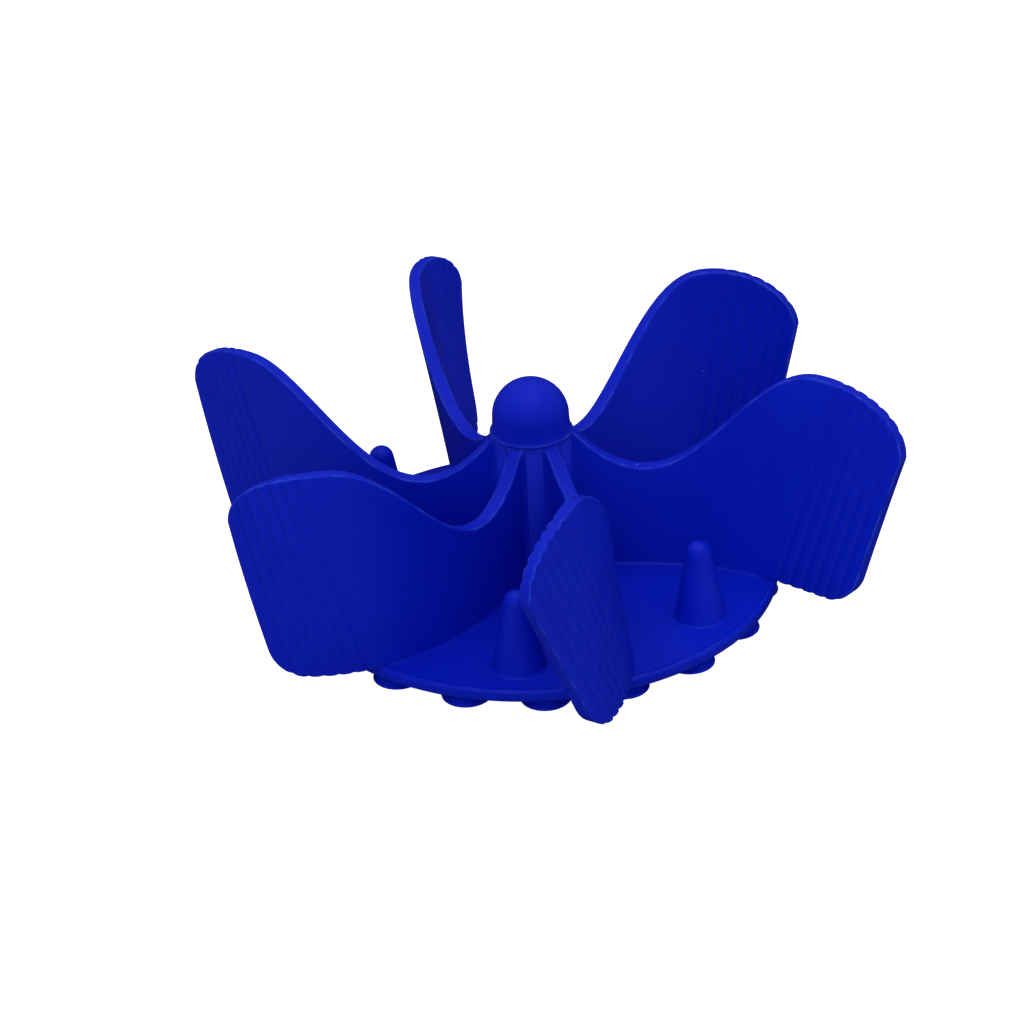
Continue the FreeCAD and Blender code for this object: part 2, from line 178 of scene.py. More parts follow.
class SiliconeLook(bpy.types.PropertyGroup):
    """Colour and surface of the silicone."""

    deep: colour("Deep Blue", "Darker of the two blues", 0.0, 0.0075, 0.43, 1)
    bright: colour("Bright Blue", "Lighter of the two blues", 0.0005, 0.0115, 0.50, 1)
    # The mould line colour is partly the mould's own raised line and partly a painted highlight
    # along the fins' rounded edges.
    line: colour("Mould Line", "Where the mould left a thin line", 0.05, 0.14, 0.66, 1)
    line_and_highlight_share: share("Mould Line Share", "How strongly that line shows", 0.25)
    dust: colour("Dust", "Specks that cling to the silicone", 0.42, 0.46, 0.80, 1)
    gloss_tint: colour("Gloss Tint", "Colour of the satin gloss", 0.6, 0.7, 1.0, 1)
    roughness: share("Roughness", "Middle of the surface's roughness", 0.48)
    gloss: share("Gloss", "Specular level of the silicone", 0.2)
    grain: length("Grain", "Height of the fine moulded grain", 0.012 * MM)


class StudioSetup(bpy.types.PropertyGroup):
    """Camera, light and floor."""

    aim: FloatVectorProperty(
        name="Aim", description="Point that the camera looks at", subtype="TRANSLATION",
        unit="LENGTH", default=(-4.77 * MM, 0.0, 16.91 * MM))
    distance: length("Distance", "Camera to that point", 587.44 * MM)
    elevation: angle("Elevation", "Camera above the horizon", 28.891)
    roll: angle("Roll", "Camera's turn about its own line of sight", -2.98)
    lens: FloatProperty(name="Lens", description="Millimetres", default=100.07, min=1.0)
    top_power: share("Top Power", "Soft box overhead, watts", 3.3)
    front_power: share("Front Power", "Soft box behind the camera, watts", 2.0)
    back_power: share("Back Power", "Soft box behind the object, watts", 0.2)
    surround: share("Surround", "Strength of the white surround", 0.78)


def smooth_step(value):
    value = np.clip(value, 0, 1)
    return value * value * (3 - 2 * value)


def new_mesh(name, points, faces, lines):
    """A closed mesh that faces outwards, with its mould lines and painted edge highlights as an
    attribute.
    """
    mesh = bpy.data.meshes.new(name)
    mesh.from_pydata([tuple(point) for point in points], [], faces)
    line_and_highlight_mark = mesh.attributes.new(MOULD_LINE_AND_HIGHLIGHT, "FLOAT", "POINT")
    line_and_highlight_mark.data.foreach_set("value", np.asarray(lines, np.float32))
    work = bmesh.new()
    work.from_mesh(mesh)
    bmesh.ops.recalc_face_normals(work, faces=work.faces)
    work.to_mesh(mesh)
    work.free()
    mesh.shade_smooth()
    return mesh


def turned_mesh(name, outline, steps):
    """Turns an outline about the upright axis, from the axis round to the axis.

    Each corner is (radius, height), with a third number where a mould line runs.
    """
    points, faces, lines, rings = [], [], [], []
    for radius, height, *line in outline:
        turns = [0] if radius == 0 else range(steps)
        rings.append(range(len(points), len(points) + len(turns)))
        for turn in turns:
            way = 2 * math.pi * turn / steps
            points.append((radius * math.cos(way), radius * math.sin(way), height))
            lines.append(line[0] if line else 0.0)
    for first, second in zip(rings, rings[1:]):
        for turn in range(steps):
            after = (turn + 1) % steps
            if len(first) == 1:
                faces.append((first[0], second[turn], second[after]))
            elif len(second) == 1:
                faces.append((first[turn], first[after], second[0]))
            else:
                faces.append((first[turn], first[after], second[after], second[turn]))
    return new_mesh(name, points, faces, lines)


def round_stretch(middle, radius, start, end, steps):
    """Corners along an arc, from one angle to another in degrees."""
    ways = np.radians(np.linspace(start, end, steps + 1))
    return [(middle[0] + radius * math.cos(way), middle[1] + radius * math.sin(way))
            for way in ways]


class Tree:
    """A node tree in the making."""

    def __init__(self, tree):
        self.tree = tree

    def node(self, kind, inputs=(), **settings):
        """A new node; inputs are (socket, number or link) pairs."""
        node = self.tree.nodes.new(kind)
        for key, value in settings.items():
            setattr(node, key, value)
        for socket, value in inputs:
            self.feed(node.inputs[socket], value)
        return node

    def feed(self, socket, value):
        if isinstance(value, bpy.types.NodeSocket):
            self.tree.links.new(value, socket)
        else:
            socket.default_value = value

    def sum(self, operation, *values):
        return self.node("ShaderNodeMath", enumerate(values), operation=operation).outputs[0]

    def socket(self, name, kind, out=False):
        side = "OUTPUT" if out else "INPUT"
        return self.tree.interface.new_socket(name=name, in_out=side, socket_type=kind)


def run_tree(piece, tree, values):
    """Gives the piece the mesh that the tree makes of it, with no modifier left."""
    modifier = piece.modifiers.new(tree.name, "NODES")
    modifier.node_group = tree
    for item in tree.interface.items_tree:
        if item.item_type == "SOCKET" and item.name in values:
            modifier[item.identifier] = values[item.name]
    graph = bpy.context.evaluated_depsgraph_get()
    mesh = bpy.data.meshes.new_from_object(piece.evaluated_get(graph))
    piece.modifiers.clear()
    piece.data = mesh
    mesh.name = piece.name


def finish_tree(tree, geometry, material):
    """Ends a tree in plain geometry with its material."""
    real = tree.node("GeometryNodeRealizeInstances", [(0, geometry)])
    done = tree.node("GeometryNodeSetMaterial", [(0, real.outputs[0]), ("Material", material)])
    tree.node("NodeGroupOutput", [(0, done.outputs[0])])


def ring_tree():
    """Stands copies of a piece round the axis, each a little out of true."""
    tree = Tree(bpy.data.node_groups.new("feeder_ring", "GeometryNodeTree"))
    for name, kind in (
        ("Piece", "NodeSocketGeometry"), ("Count", "NodeSocketInt"),
        ("Radius", "NodeSocketFloat"), ("First", "NodeSocketFloat"),
        ("Lean", "NodeSocketFloat"), ("Middle", "NodeSocketBool"),
        ("Material", "NodeSocketMaterial"),
    ):
        tree.socket(name, kind)
    tree.socket("Ring", "NodeSocketGeometry", out=True)
    given = tree.node("NodeGroupInput").outputs
    circle = tree.node(
        "GeometryNodeMeshCircle", [("Vertices", given["Count"]), ("Radius", given["Radius"])])
    turn = tree.node("ShaderNodeCombineXYZ", [("Z", given["First"])])
    placed = tree.node(
        "GeometryNodeTransform",
        [("Geometry", circle.outputs[0]), ("Rotation", turn.outputs[0])])
    back = tree.sum("MULTIPLY", given["Lean"], -1.0)
    low = tree.node("ShaderNodeCombineXYZ", [("X", back), ("Y", back)])
    high = tree.node("ShaderNodeCombineXYZ", [("X", given["Lean"]), ("Y", given["Lean"])])
    lean = tree.node(
        "FunctionNodeRandomValue",
        [("Min", low.outputs[0]), ("Max", high.outputs[0]), ("Seed", 3)],
        data_type="FLOAT_VECTOR")
    copies = tree.node(
        "GeometryNodeInstanceOnPoints",
        [("Points", placed.outputs[0]), ("Instance", given["Piece"]),
         ("Rotation", lean.outputs[0])])
    middle = tree.node(
        "GeometryNodeSwitch", [("Switch", given["Middle"]), ("True", given["Piece"])],
        input_type="GEOMETRY")
    both = tree.node("GeometryNodeJoinGeometry", [(0, copies.outputs[0])])
    tree.feed(both.inputs[0], middle.outputs[0])
    finish_tree(tree, both.outputs[0], given["Material"])
    return tree.tree


def bend_tree():
    """Stands a flat fin up on the plate and bends it along its middle line.

    The flat fin lies along X with its wall across Y. Its middle line is three arcs, given at
    the foot and at the level height, and a point between those heights is between them.
    """
    tree = Tree(bpy.data.node_groups.new("feeder_fin_bend", "GeometryNodeTree"))
    tree.socket("Flat Fin", "NodeSocketGeometry")
    for name in ("Floor", "Level Height", "Heading", "Root Lean", "Root Run", "Root Turn",
                 "Bend Run", "Bend Turn", "Free Run", "Foot Bow", "Top Bow"):
        tree.socket(name, "NodeSocketFloat")
    tree.socket("Material", "NodeSocketMaterial")
    tree.socket("Fin", "NodeSocketGeometry", out=True)
    given = tree.node("NodeGroupInput").outputs
    place = tree.node("GeometryNodeInputPosition")
    flat = tree.node("ShaderNodeSeparateXYZ", [(0, place.outputs[0])]).outputs
    do = tree.sum

    def middle_line(heading, bow):
        """Place and heading on the middle line, after each arc in turn."""
        x, y, left = 0.0, 0.0, flat["X"]
        for run, turn in (
            (given["Root Run"], given["Root Turn"]), (given["Bend Run"], given["Bend Turn"]),
            (given["Free Run"], bow),
        ):
            part = left if bow is turn else do("MINIMUM", left, run)
            after = do("SUBTRACT", heading, do("MULTIPLY", turn, do("DIVIDE", part, run)))
            radius = do("DIVIDE", run, turn)
            sines = do("SUBTRACT", do("SINE", heading), do("SINE", after))
            cosines = do("SUBTRACT", do("COSINE", after), do("COSINE", heading))
            x = do("ADD", x, do("MULTIPLY", radius, sines))
            y = do("ADD", y, do("MULTIPLY", radius, cosines))
            left = do("SUBTRACT", left, part)
            heading = after
        return x, y, heading

    foot = middle_line(given["Heading"], given["Foot Bow"])
    top = middle_line(do("SUBTRACT", given["Heading"], given["Root Lean"]), given["Top Bow"])
    gaps = [do("SUBTRACT", end, start) for start, end in zip(foot, top)]
    apart = do("SQRT", do("ADD", do("POWER", gaps[0], 2.0), do("POWER", gaps[1], 2.0)))
    lean = do("DIVIDE", apart, given["Level Height"])
    upright = do("SQRT", do("SUBTRACT", 1.0, do("POWER", lean, 2.0)))
    height = do("MULTIPLY", flat["Z"], upright)
    rise = do("DIVIDE", height, given["Level Height"])
    x, y, heading = [
        do("ADD", start, do("MULTIPLY", gap, rise)) for start, gap in zip(foot, gaps)]
    bent = tree.node("ShaderNodeCombineXYZ", [
        ("X", do("SUBTRACT", x, do("MULTIPLY", flat["Y"], do("SINE", heading)))),
        ("Y", do("ADD", y, do("MULTIPLY", flat["Y"], do("COSINE", heading)))),
        ("Z", do("ADD", height, given["Floor"]))])
    moved = tree.node(
        "GeometryNodeSetPosition",
        [("Geometry", given["Flat Fin"]), ("Position", bent.outputs[0])])
    finish_tree(tree, moved.outputs[0], given["Material"])
    return tree.tree


class FlatFin:
    """The fin before it is bent: x along its middle line, y across its wall, z up."""

    # Rows of points up the wall, and steps round each of its edges.
    ROWS = 64
    EDGE_STEPS = 4
    # Where the upright lines change their spacing: past the post, before the plate's rim, and
    # short of the toe.
    POST_STRETCH = 1.5 * MM
    FREE_START = 5 * MM
    TOE_STRETCH = 1.6 * MM

    def __init__(self, fin, sizes):
        self.fin = fin
        self.sizes = sizes
        self.slant = (fin.tip_run - fin.toe_run) / fin.tip_height
        self.foot_end = half_width(PLATE)

    def rim(self, run):
        """Height of the rim's inner line, one edge round in from the rim."""
        fin = self.fin
        post_radius = half_width(POST)
        drop = POST[1].z - POST[0].z - fin.rim_drop - fin.valley_height
        back = (fin.valley_run - run) / (fin.valley_run - post_radius)
        near = fin.valley_height + drop * back ** 2
        near_slope = 2 * drop * back / (fin.valley_run - post_radius)
        climb = fin.peak_height - fin.valley_height
        way = math.pi * (run - fin.valley_run) / (fin.peak_run - fin.valley_run)
        rise = fin.valley_height + climb * (1 - np.cos(way)) / 2
        rise_slope = climb * np.sin(way) / 2 * math.pi / (fin.peak_run - fin.valley_run)
        part = (run - fin.peak_run) / (fin.tip_run - fin.edge_round - fin.peak_run)
        fall = fin.peak_height - fin.edge_round - fin.tip_height
        far = fin.tip_height + fall * np.sqrt(np.clip(1 - part ** 2, 0, 1))
        before = np.where(run < fin.valley_run, near, rise)
        slope = np.where(run < fin.valley_run, near_slope, rise_slope)
        before = before - fin.edge_round * np.sqrt(1 + slope ** 2)
        return np.where(run < fin.peak_run, before, far)

    def columns(self):
        """Where the upright lines of the mesh stand on the foot, closest at the grooves."""
        fin = self.fin
        post = half_width(POST)
        near_post = post + self.POST_STRETCH
        free = fin.root_run + fin.bend_run - self.FREE_START
        toe = self.toe_end()
        last = self.TOE_STRETCH
        return np.concatenate([
            np.linspace(fin.inner_run, post, 4)[:-1],
            np.linspace(post, near_post, 8)[:-1],
            np.linspace(near_post, free, 44)[:-1],
            np.linspace(free, toe - last, 120)[:-1],
            toe - last * np.linspace(1, 0, 14) ** 2,
        ])

    def toe_end(self):
        return self.fin.toe_run - self.fin.edge_round * math.hypot(1, self.slant)

    def lines(self):
        """Foot and top of every upright line, as (run, height) arrays."""
        fin = self.fin
        starts = self.columns()
        slants = self.slant * smooth_step(
            (starts - fin.root_run) / (fin.bend_run - self.FREE_START))
        slope = math.atan2(1, self.slant)
        heel = fin.toe_run - fin.toe_radius / math.tan((math.pi - slope) / 2)
        radius = fin.toe_radius - fin.edge_round
        past = np.maximum(starts + slants * fin.toe_radius - heel, 0)
        # The line from the arc's own height crosses the arc below it.
        square = 1 + slants ** 2
        root = np.sqrt(np.maximum((slants * past) ** 2 - square * (past ** 2 - radius ** 2), 0))
        drop = (slants * past + root) / square
        low = np.where(past - slants * drop > 0, fin.toe_radius - drop, fin.edge_round)
        rooted = smooth_step((self.foot_end - 0.4 * MM - starts) / MM)
        low = low - rooted * (fin.edge_round + self.sizes.sink_in)
        near, far = starts.copy(), np.full_like(starts, fin.tip_run - fin.edge_round)
        for _ in range(48):
            middle = (near + far) / 2
            beyond = middle - starts - slants * self.rim(middle) > 0
            far = np.where(beyond, middle, far)
            near = np.where(beyond, near, middle)
        high = self.rim(near)
        return (starts + slants * low, low), (near, high)

    def half_wall(self, run, height):
        """Half the wall's thickness, with its grooves and the rounds at plate and post."""
        fin, sizes = self.fin, self.sizes
        taper = height / fin.level_height
        half = (fin.foot_width + (fin.top_width - fin.foot_width) * taper) / 2
        foot = run - self.slant * height
        for index in range(fin.grooves):
            centre = fin.toe_run - fin.groove_first - index * fin.groove_pitch
            away = np.clip(np.abs(foot - centre) / fin.groove_reach, 0, 1)
            half = half - fin.groove_depth * (1 + np.cos(math.pi * away)) / 2
        radius = sizes.foot_round
        rooted = smooth_step((self.foot_end - 0.5 * MM - run) / (3 * MM))
        for gap, fade in ((height, rooted), (run - half_width(POST), 1.0)):
            inside = np.clip(radius - gap, 0, radius)
            half = half + fade * (radius - np.sqrt(radius ** 2 - inside ** 2))
        return half

    def mesh(self):
        (low_run, low), (high_run, high) = self.lines()
        steps = np.linspace(0, 1, self.ROWS + 1) ** 1.35
        run = low_run[:, None] + (high_run - low_run)[:, None] * steps
        height = low[:, None] + (high - low)[:, None] * steps
        wide, tall = run.shape
        last, top = wide - 1, tall - 1
        loop = [(i, top) for i in range(wide)] + [(last, j) for j in range(top - 1, -1, -1)]
        loop += [(i, 0) for i in range(last - 1, -1, -1)] + [(0, j) for j in range(1, top)]
        loop = np.array(loop)
        edge = np.stack([run[loop[:, 0], loop[:, 1]], height[loop[:, 0], loop[:, 1]]], 1)
        along = np.roll(edge, -1, 0) - edge
        along /= np.linalg.norm(along, axis=1)[:, None]
        along = along + np.roll(along, 1, 0)
        along /= np.linalg.norm(along, axis=1)[:, None]
        out = np.stack([-along[:, 1], along[:, 0]], 1)
        points, lines, faces = [], [], []
        rims = []
        for side in (1, -1):
            first = len(points)
            half = self.half_wall(run, height)
            points.extend(np.stack([run, side * half, height], 2).reshape(-1, 3))
            lines.extend([0.0] * (wide * tall))
            for i in range(last):
                for j in range(top):
                    corner = first + i * tall + j
                    faces.append((corner, corner + tall, corner + tall + 1, corner + 1))
            ring = first + loop[:, 0] * tall + loop[:, 1]
            for step in range(1, self.EDGE_STEPS + 1):
                way = math.pi / 2 * step / self.EDGE_STEPS
                place = edge + out * self.fin.edge_round * math.sin(way)
                half = self.half_wall(place[:, 0], place[:, 1])
                half = half - self.fin.edge_round * (1 - math.cos(way))
                after = len(points) + np.arange(len(loop))
                points.extend(np.stack([place[:, 0], side * half, place[:, 1]], 1))
                # Lighter colour halfway round each edge: a painted highlight along the round,
                # together with the mould line.
                line_and_highlight_mark = np.full(len(loop), math.sin(2 * way))
                line_and_highlight_mark[last] = 1.0
                lines.extend(line_and_highlight_mark)
                faces.extend(strip(ring, after))
                ring = after
            rims.append(ring)
        faces.extend(strip(*rims))
        return new_mesh("flat_fin", points, faces, lines)


def strip(first, second):
    """Faces between two closed loops of points."""
    first, second = list(map(int, first)), list(map(int, second))
    return [(first[i - 1], first[i], second[i], second[i - 1]) for i in range(len(first))]


# Noise and cell scales of the silicone's pattern, as a count per metre.
CLOUD_SCALE = 38.0
LINE_BREAK_SCALE = 260.0
DUST_SCALE = 420.0
ROUGHNESS_SCALE = 420.0
FINE_GRAIN_SCALE = 5200.0
SOFT_GRAIN_SCALE = 240.0
# Share of the soft grain against the fine, and how far the roughness strays.
SOFT_GRAIN_SHARE = 1.5
ROUGHNESS_STRAY = 0.05
# A speck sits in the few cells whose random number is near one.
SPECK_RADIUS = (0.03, 0.07)
SPECK_PICK = (0.965, 0.985)
SPECK_SHARE = 0.8
SILICONE_IOR = 1.41


def silicone(slot):
    """Satin silicone: cloudy blue, fine grain, bluish mould lines that on fin edges are also
    painted highlights, and a little dust.
    """
    name = "satin_" + slot
    found = bpy.data.materials.get(name)
    if found:
        return found
    look = bpy.context.scene.silicone_look
    material = bpy.data.materials.new(name)
    material.use_nodes = True
    material.diffuse_color = look.bright
    tree = Tree(material.node_tree)
    material.node_tree.nodes.clear()
    place = tree.node("ShaderNodeTexCoord").outputs["Object"]

    def noise(scale, detail):
        made = tree.node("ShaderNodeTexNoise", [("Vector", place), ("Scale", scale),
                                                ("Detail", detail)])
        return made.outputs[0]

    def between(value, low, high, start, end):
        made = tree.node("ShaderNodeMapRange", [
            (0, value), (1, low), (2, high), (3, start), (4, end)])
        return made.outputs[0]

    def mixed(factor, first, second):
        made = tree.node("ShaderNodeMix", data_type="RGBA")
        for socket, value in ((0, factor), (6, first), (7, second)):
            tree.feed(made.inputs[socket], value)
        return made.outputs[2]

    clouds = between(noise(CLOUD_SCALE, 3.0), 0.3, 0.7, 0.0, 1.0)
    blue = mixed(clouds, look.deep, look.bright)
    # Lighter blue along the mould lines, which on the fins' rounded edges is a painted
    # highlight.
    line_and_highlight_mark = tree.node("ShaderNodeAttribute", attribute_name=MOULD_LINE_AND_HIGHLIGHT).outputs["Fac"]
    broken = between(noise(LINE_BREAK_SCALE, 2.0), 0.42, 0.62, 0.1, 1.0)
    line_and_highlight_amount = tree.sum("MULTIPLY", line_and_highlight_mark, tree.sum("MULTIPLY", broken, look.line_and_highlight_share))
    blue = mixed(line_and_highlight_amount, blue, look.line)
    cells = tree.node("ShaderNodeTexVoronoi", [("Vector", place), ("Scale", DUST_SCALE)])
    speck = between(cells.outputs["Distance"], *SPECK_RADIUS, 1.0, 0.0)
    picked = tree.node("ShaderNodeSeparateColor", [(0, cells.outputs["Color"])]).outputs[0]
    picked = between(picked, *SPECK_PICK, 0.0, SPECK_SHARE)
    blue = mixed(tree.sum("MULTIPLY", speck, picked), blue, look.dust)
    rough = between(noise(ROUGHNESS_SCALE, 3.0), 0.3, 0.7,
                    look.roughness - ROUGHNESS_STRAY, look.roughness + ROUGHNESS_STRAY)
    fine = noise(FINE_GRAIN_SCALE, 2.0)
    soft = noise(SOFT_GRAIN_SCALE, 2.0)
    grain = tree.sum("ADD", fine, tree.sum("MULTIPLY", soft, SOFT_GRAIN_SHARE))
    bump = tree.node("ShaderNodeBump", [
        ("Strength", 0.6), ("Distance", look.grain), ("Height", grain)])
    shader = tree.node("ShaderNodeBsdfPrincipled", [
        ("Base Color", blue), ("Roughness", rough), ("IOR", SILICONE_IOR),
        ("Specular IOR Level", look.gloss), ("Specular Tint", look.gloss_tint),
        ("Normal", bump.outputs[0])])
    tree.node("ShaderNodeOutputMaterial", [("Surface", shader.outputs[0])])
    return material


def add_piece(name, mesh, material):
    piece = bpy.data.objects.new(name, mesh)
    bpy.context.scene.collection.objects.link(piece)
    if material:
        mesh.materials.append(material)
    return piece


def hand_over(piece, slot, *nodes):
    """The piece stands for these CAD nodes on the base. The slot is not used."""
    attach(piece, "base")
    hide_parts(*nodes)


def stand_ring(name, mesh, count, radius, first, slot, nodes, lean=0.0, middle=False):
    """A ring of copies of the mesh, as one piece."""
    tree = bpy.data.node_groups.get("feeder_ring") or ring_tree()
    piece = add_piece(name, mesh, None)
    run_tree(piece, tree, {
        "Count": count, "Radius": radius, "First": first, "Lean": lean, "Middle": middle,
        "Material": silicone(slot)})
    hand_over(piece, slot, *nodes)


class FEEDER_OT_plate(bpy.types.Operator):
    """Make the round base plate with its mould bead"""

    bl_idname = "feeder.plate"
    bl_label = "Base Plate"

    def execute(self, context):
        sizes = context.scene.feeder_sizes
        radius, low, high = half_width(PLATE), PLATE[0].z, PLATE[1].z
        edge = sizes.plate_edge
        bead = radius - edge - sizes.bead_width
        outline = [(0, low)]
        outline += round_stretch((radius - edge, low + edge), edge, -90, 0, 5)
        outline += round_stretch((radius - edge, high - edge), edge, 0, 90, 5)
        outline += [
            (bead + sizes.bead_width / 2, high + sizes.bead_height, 1.0),
            (bead, high), (bead - MM, high), (radius / 2, high), (0, high)]
        mesh = turned_mesh("moulded_plate", outline, 256)
        piece = add_piece("moulded_plate", mesh, silicone("body_silicone"))
        hand_over(piece, "body_silicone", "base_plate")
        return {"FINISHED"}


class FEEDER_OT_post(bpy.types.Operator):
    """Make the centre post with a hollow round at its foot"""

    bl_idname = "feeder.post"
    bl_label = "Centre Post"

    def execute(self, context):
        sizes = context.scene.feeder_sizes
        radius, low, high = half_width(POST), POST[0].z, POST[1].z
        foot = sizes.foot_round
        outline = [(0, low - sizes.sink_in), (radius + foot, low - sizes.sink_in)]
        outline += round_stretch((radius + foot, low + foot), foot, -90, -180, 6)
        outline += [(radius, high), (0, high)]
        mesh = turned_mesh("moulded_post", outline, 128)
        piece = add_piece("moulded_post", mesh, silicone("body_silicone"))
        hand_over(piece, "body_silicone", "centre_post")
        return {"FINISHED"}


class FEEDER_OT_cap(bpy.types.Operator):
    """Make the domed cap with its flared skirt and thin mould flange"""

    bl_idname = "feeder.cap"
    bl_label = "Domed Cap"

    def execute(self, context):
        sizes = context.scene.feeder_sizes
        flange, low = half_width(CAP), CAP[0].z
        dome, skirt = sizes.dome_radius, sizes.skirt_height
        foot = (flange + dome) / 2
        lip = sizes.flange_height
        outline = [(0, low), (foot, low), (flange, low + lip * 0.3, 1.0)]
        outline += [(flange, low + lip * 0.6, 1.0), (foot, low + lip * 1.4)]
        flare = np.linspace(0.2, 0.9, 7)
        outline += [
            (foot - (foot - dome) * math.sin(part * math.pi / 2), low + skirt * part)
            for part in flare]
        outline += round_stretch((0, low + skirt), dome, 0, 90, 32)[:-1]
        outline += [(0, low + skirt + dome)]
        mesh = turned_mesh("moulded_cap", outline, 128)
        piece = add_piece("moulded_cap", mesh, silicone("body_silicone"))
        hand_over(piece, "body_silicone", "domed_cap")
        return {"FINISHED"}


class FEEDER_OT_pegs(bpy.types.Operator):
    """Make the ring of cone pegs"""

    bl_idname = "feeder.pegs"
    bl_label = "Cone Pegs"

    def execute(self, context):
        sizes = context.scene.feeder_sizes
        radius, low, high = half_width(PEG), PEG[0].z, PEG[1].z
        shoulder, rise = sizes.peg_shoulder, sizes.peg_tip_rise
        tip = (shoulder ** 2 + rise ** 2) / (2 * rise)
        start = math.degrees(math.acos(shoulder / tip))
        foot = sizes.foot_round
        outline = [(0, low - sizes.sink_in), (radius + foot, low - sizes.sink_in)]
        outline += round_stretch((radius + foot, low + foot), foot, -90, -172, 6)
        outline += round_stretch((0, high - tip), tip, start, 90, 12)[:-1]
        outline += [(0, high)]
        mesh = turned_mesh("moulded_pegs", outline, 72)
        far, first = standing_at(PEG)
        nodes = ["cone_peg_%d" % number for number in range(1, FIN_COUNT + 1)]
        stand_ring("moulded_pegs", mesh, FIN_COUNT, far, first, "body_silicone", nodes,
                   lean=sizes.peg_lean)
        return {"FINISHED"}


class FEEDER_OT_cups(bpy.types.Operator):
    """Make the three rings of suction cups and the one at the centre"""

    bl_idname = "feeder.cups"
    bl_label = "Suction Cups"

    def execute(self, context):
        sizes = context.scene.feeder_sizes
        mouth, high = half_width(CUP), CUP[1].z
        neck = sizes.cup_neck
        hollow = mouth - sizes.cup_lip_width
        roof = (hollow ** 2 + sizes.cup_hollow ** 2) / (2 * sizes.cup_hollow)
        start = math.degrees(math.asin(hollow / roof))
        outline = [(0, sizes.cup_hollow)]
        outline += round_stretch((0, sizes.cup_hollow - roof), roof, 90, 90 - start, 8)[1:]
        edge = sizes.cup_lip_height / 2
        outline += round_stretch((mouth - edge, edge), edge, -90, 90, 6)
        shoulder = high - sizes.cup_neck_height
        for part in np.linspace(0.25, 1, 6):
            width = mouth - edge - (mouth - edge - neck) * part ** 0.7
            outline.append((width, 2 * edge + (shoulder - 2 * edge) * part))
        outline += [(neck, high + sizes.sink_in), (0, high + sizes.sink_in)]
        for ring, count in (
            ("rim", sizes.rim_cups), ("mid", sizes.mid_cups), ("inner", sizes.inner_cups),
        ):
            nodes = ["%s_cup_%02d" % (ring, number) for number in range(1, count + 1)]
            far, first = standing_at(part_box(nodes[0]))
            middle = ring == "inner"
            if middle:
                nodes.append("centre_cup")
            name = ring + "_suction_cups"
            mesh = turned_mesh(name, outline, 48)
            stand_ring(name, mesh, count, far, first, "cup_silicone", nodes, middle=middle)
        return {"FINISHED"}


